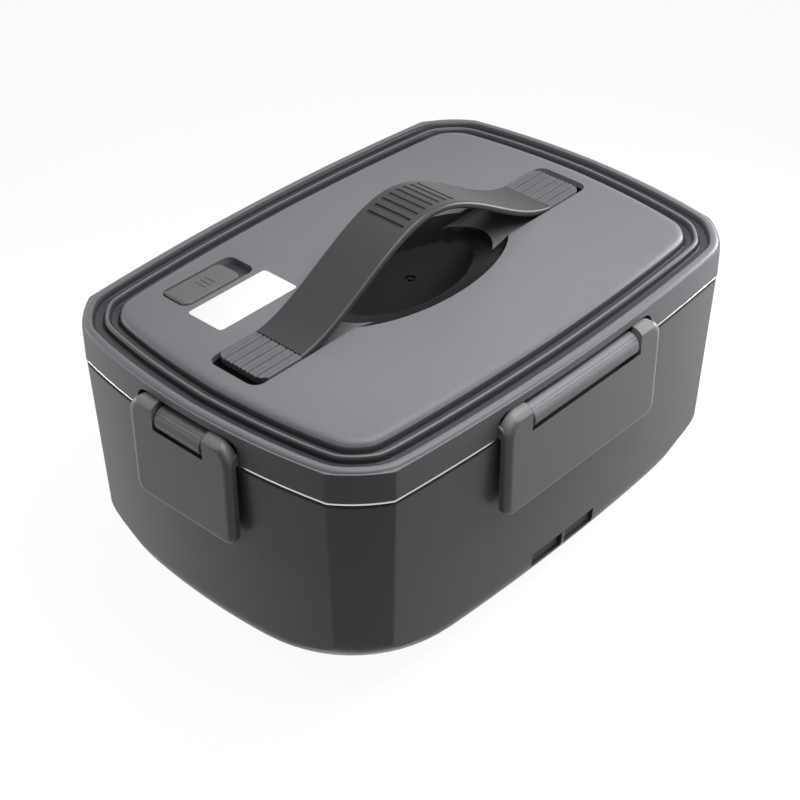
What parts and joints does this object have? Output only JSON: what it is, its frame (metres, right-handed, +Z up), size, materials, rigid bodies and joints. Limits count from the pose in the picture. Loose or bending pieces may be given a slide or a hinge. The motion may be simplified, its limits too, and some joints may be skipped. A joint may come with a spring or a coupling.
{
  "type": "electric lunch box",
  "caption": "Low rectangular electric lunch box with a lift-off latched lid, a bowed carrying strap, a steam vent, a lift-out steel container and a heated base.",
  "frame": {"origin": "centre of the footprint on the table, at the bottom of the rubber feet", "axes": "+X along the longer side, +Z up, -Y towards the side with the power inlets"},
  "size_m": [0.2444, 0.1754, 0.1339],
  "materials": {
    "case_plastic": "satin grey polypropylene",
    "inner_plastic": "matt dark grey polypropylene",
    "black_rubber": "matt",
    "screw_steel": "zinc plated",
    "pin_steel": "ground",
    "plate_aluminium": "satin",
    "heater_aluminium": "satin",
    "clip_steel": "stamped",
    "red_silicone": "matt",
    "fibre_pad": "felted",
    "black_phenolic": "moulded phenolic",
    "fuse_ceramic": "ceramic sleeve",
    "socket_plastic": "satin",
    "pin_brass": "plated",
    "red_wire": "silicone insulation",
    "black_wire": "silicone insulation",
    "cover_silicone": "satin grey silicone",
    "stainless_steel": "satin stainless",
    "lid_plastic": "satin grey polypropylene",
    "white_plastic": "satin",
    "white_silicone": "matt",
    "label_paper": "blank coated sticker",
    "vent_silicone": "satin grey silicone",
    "latch_plastic": "satin grey polypropylene",
    "strap_rubber": "matt soft rubber",
    "slider_plastic": "satin",
    "retainer_plastic": "satin"
  },
  "bodies": {
    "base": {"outer_shell": "case_plastic", "inner_liner": "inner_plastic", "liner_screws": "screw_steel", "bottom_cover": "inner_plastic", "cover_screws": "screw_steel", "rubber_feet": "black_rubber", "heating_plate": "plate_aluminium", "plate_gasket": "red_silicone", "ptc_heaters": "heater_aluminium", "heater_clip": "clip_steel", "clip_screws": "screw_steel", "insulation_pad": "fibre_pad", "thermostat": "black_phenolic", "thermostat_screws": "screw_steel", "thermal_fuse": "fuse_ceramic", "ac_inlet": "socket_plastic", "ac_pins": "pin_brass", "dc_inlet": "socket_plastic", "dc_pins": "pin_brass", "ac_wires": "red_wire", "dc_wires": "black_wire"},
    "container": {"food_container": "stainless_steel"},
    "lid": {"lid_cover": "lid_plastic", "lid_liner": "white_plastic", "lid_seal": "white_silicone", "lid_label": "label_paper", "long_latch_pins": "pin_steel", "short_latch_pins": "pin_steel"},
    "front_latch_body": {"front_latch": "latch_plastic"},
    "rear_latch_body": {"rear_latch": "latch_plastic"},
    "left_latch_body": {"left_latch": "latch_plastic"},
    "right_latch_body": {"right_latch": "latch_plastic"},
    "vent_plug_body": {"vent_plug": "vent_silicone"},
    "ac_cover_body": {"ac_cover": "cover_silicone"},
    "dc_cover_body": {"dc_cover": "cover_silicone"},
    "handle_grip": {"handle_strap": "strap_rubber"},
    "left_slider": {"left_handle_slider": "slider_plastic", "left_retainer": "retainer_plastic", "left_retainer_screws": "screw_steel"},
    "right_slider": {"right_handle_slider": "slider_plastic", "right_retainer": "retainer_plastic", "right_retainer_screws": "screw_steel"}
  },
  "joints": [
    {"name": "lid_lift", "type": "slide", "parent": "base", "child": "lid", "axis": [0, 0, 1], "range_m": [0, 0.2]},
    {"name": "container_lift", "type": "slide", "parent": "base", "child": "container", "axis": [0, 0, 1], "range_m": [0, 0.1]},
    {"name": "front_latch_hinge", "type": "hinge", "parent": "lid", "child": "front_latch_body", "pos_m": [0, -0.0827, 0.0911], "axis": [-1, 0, 0], "range_deg": [0, 105]},
    {"name": "rear_latch_hinge", "type": "hinge", "parent": "lid", "child": "rear_latch_body", "pos_m": [0, 0.0827, 0.0911], "axis": [1, 0, 0], "range_deg": [0, 105]},
    {"name": "left_latch_hinge", "type": "hinge", "parent": "lid", "child": "left_latch_body", "pos_m": [-0.1172, 0, 0.0911], "axis": [0, 1, 0], "range_deg": [0, 105]},
    {"name": "right_latch_hinge", "type": "hinge", "parent": "lid", "child": "right_latch_body", "pos_m": [0.1172, 0, 0.0911], "axis": [0, -1, 0], "range_deg": [0, 105]},
    {"name": "vent_plug_hinge", "type": "hinge", "parent": "lid", "child": "vent_plug_body", "pos_m": [-0.0749, 0.0508, 0.1023], "axis": [0, -1, 0], "range_deg": [0, 70]},
    {"name": "ac_cover_hinge", "type": "hinge", "parent": "base", "child": "ac_cover_body", "pos_m": [-0.0099, -0.07793, 0.01515], "axis": [-1, 0, 0], "range_deg": [0, 85]},
    {"name": "dc_cover_hinge", "type": "hinge", "parent": "base", "child": "dc_cover_body", "pos_m": [0.0099, -0.07793, 0.01515], "axis": [-1, 0, 0], "range_deg": [0, 85]},
    {"name": "handle_press", "type": "slide", "parent": "lid", "child": "handle_grip", "axis": [0, 0, -1], "range_m": [0, 0.0105], "stiffness_N_per_m": 400, "springref_m": -0.002, "deforming": ["handle_strap"]},
    {"name": "left_slider_slide", "type": "slide", "parent": "handle_grip", "child": "left_slider", "axis": [-0.3714, 0, 0.9285], "range_m": [0, 0.01131]},
    {"name": "right_slider_slide", "type": "slide", "parent": "handle_grip", "child": "right_slider", "axis": [0.3714, 0, 0.9285], "range_m": [0, 0.01131]}
  ],
  "couplings": [
    {"joint": "container_lift", "follows": "lid_lift", "ratio": 0.5},
    {"joint": "left_slider_slide", "follows": "handle_press", "ratio": 1.077},
    {"joint": "right_slider_slide", "follows": "handle_press", "ratio": 1.077}
  ]
}
